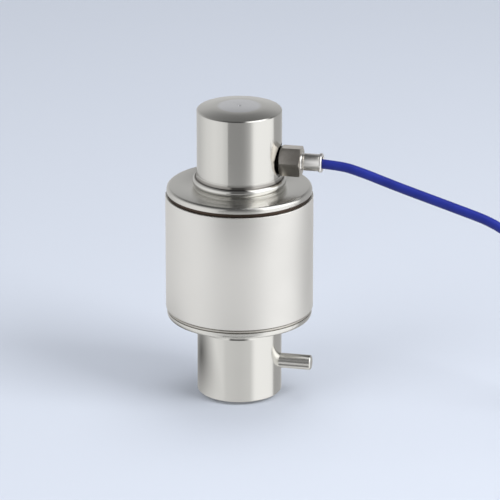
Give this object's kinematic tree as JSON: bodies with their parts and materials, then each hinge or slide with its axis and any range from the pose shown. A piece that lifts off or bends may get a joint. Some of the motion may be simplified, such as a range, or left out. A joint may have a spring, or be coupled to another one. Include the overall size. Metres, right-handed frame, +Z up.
{
  "type": "compression load cell",
  "caption": "Upright steel compression load cell: a column with rounded load faces in a round sealed housing, with a side cable gland, a cable and an anti-rotation pin.",
  "frame": {"origin": "centre of the lower load face, on the plane that the cell stands on", "axes": "+Z up the column's axis from the lower load face to the upper one; the gland and the pin point 12 degrees from +X towards -Y"},
  "size_m": [0.3068, 0.0906, 0.15],
  "materials": {
    "column_steel": "fine turned, bright",
    "housing_steel": "satin turned",
    "seam_steel": "heat-darkened weld seam",
    "neck_steel": "polished",
    "gland_metal": "dull nickel plate",
    "crimp_metal": "bright drawn",
    "black_rubber": "matt moulded",
    "pin_steel": "ground",
    "cable_sheath": "smooth extruded, blue",
    "gauge_film": "amber film with a fine metal grid",
    "terminal_board": "laminate with solder pads",
    "circuit_board": "green solder resist",
    "resistor_wire": "wound and lacquered",
    "spacer_plastic": "natural white",
    "screw_steel": "passivated",
    "wire_sheath": "thin enamel, red and black",
    "core_sheath": "coloured cores",
    "tie_fabric": "black hook strap",
    "shrink_sleeve": "black shrink tube",
    "ferrule_metal": "tinned"
  },
  "bodies": {
    "root": {"load_column": "column_steel", "housing_sleeve": "housing_steel", "upper_cap": "housing_steel", "lower_cap": "housing_steel", "upper_seam_ring": "seam_steel", "lower_seam_ring": "seam_steel", "upper_neck_ring": "neck_steel", "lower_neck_ring": "neck_steel", "gland_body": "gland_metal", "crimp_sleeve": "crimp_metal", "gland_o_ring": "black_rubber", "cable_seal": "black_rubber", "cable_bush": "black_rubber", "anti_rotation_pin": "pin_steel", "cable_run": "cable_sheath", "cable_coil": "cable_sheath", "axial_gauges": "gauge_film", "cross_gauges": "gauge_film", "solder_terminals": "terminal_board", "balance_board": "circuit_board", "trim_resistors": "resistor_wire", "board_spacers": "spacer_plastic", "board_screws": "screw_steel", "gauge_wires": "wire_sheath", "cable_cores": "core_sheath", "channel_bush": "spacer_plastic", "coil_ties": "tie_fabric", "end_sleeve": "shrink_sleeve", "end_cores": "core_sheath", "end_ferrules": "ferrule_metal"}
  },
  "joints": []
}
